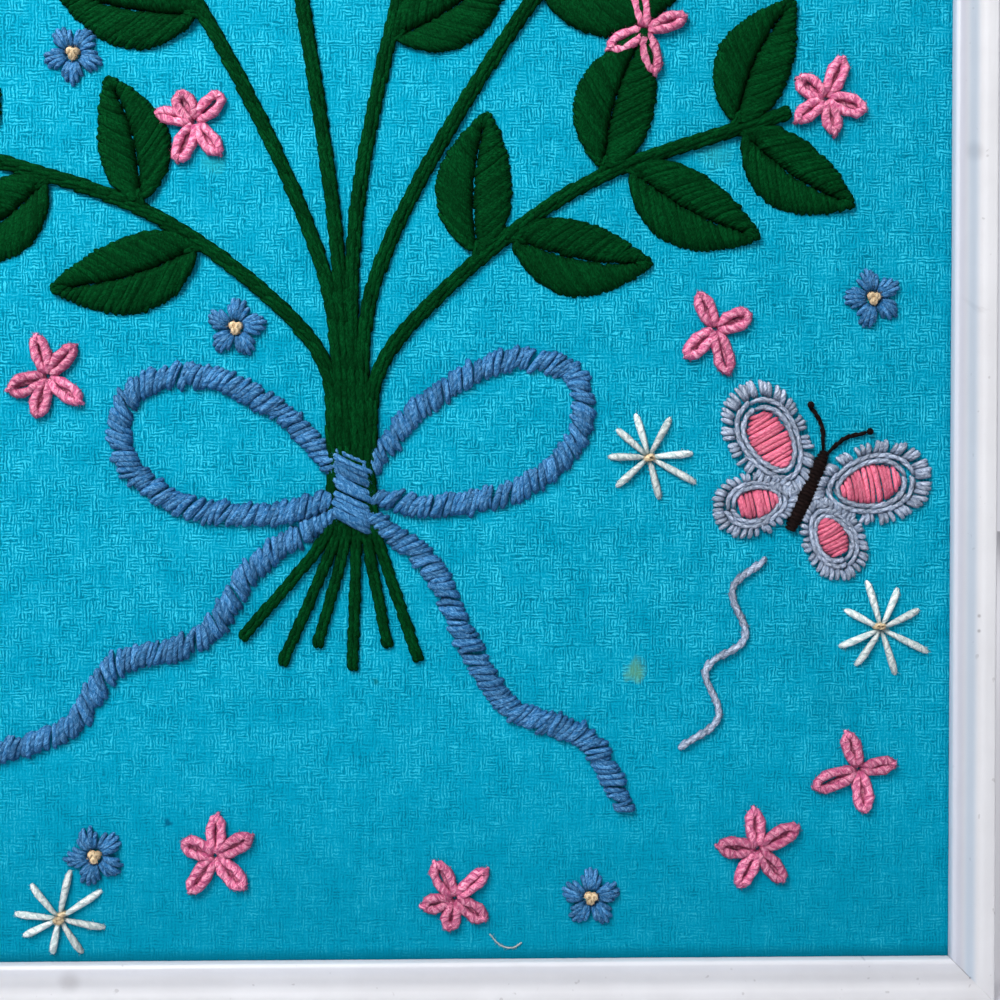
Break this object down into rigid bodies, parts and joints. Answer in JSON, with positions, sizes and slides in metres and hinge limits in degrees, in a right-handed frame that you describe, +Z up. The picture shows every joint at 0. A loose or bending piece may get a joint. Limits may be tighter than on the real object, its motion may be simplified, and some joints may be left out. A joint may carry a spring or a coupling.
{
  "type": "framed crewel embroidery, an embroidered cloth in a picture frame",
  "caption": "Upright picture: a turquoise plain-weave cloth worked in wool stitches, stretched over a board in a narrow white mitred frame; hangs flat on a wall or stands on its lower edge.",
  "frame": {"origin": "centre of the frame's underside, where the lower rail rests", "axes": "+Z up the picture, -Y out of its face towards the viewer, +X to the viewer's right"},
  "size_m": [0.2914, 0.019, 0.3676],
  "materials": {
    "white_paint": "white paint on wood, satin, lightly scuffed",
    "turquoise_cloth": "matte plain-weave cloth",
    "grey_board": "plain pulp board",
    "green_wool": "twisted wool yarn",
    "pink_wool": "twisted wool yarn",
    "blue_wool": "twisted wool yarn",
    "grey_wool": "twisted wool yarn",
    "ivory_wool": "twisted wool yarn",
    "black_wool": "twisted wool yarn"
  },
  "bodies": {
    "root": {"rail_bottom": "white_paint", "rail_left": "white_paint", "rail_top": "white_paint", "rail_right": "white_paint", "cloth": "turquoise_cloth", "mount_board": "grey_board"}
  },
  "joints": []
}
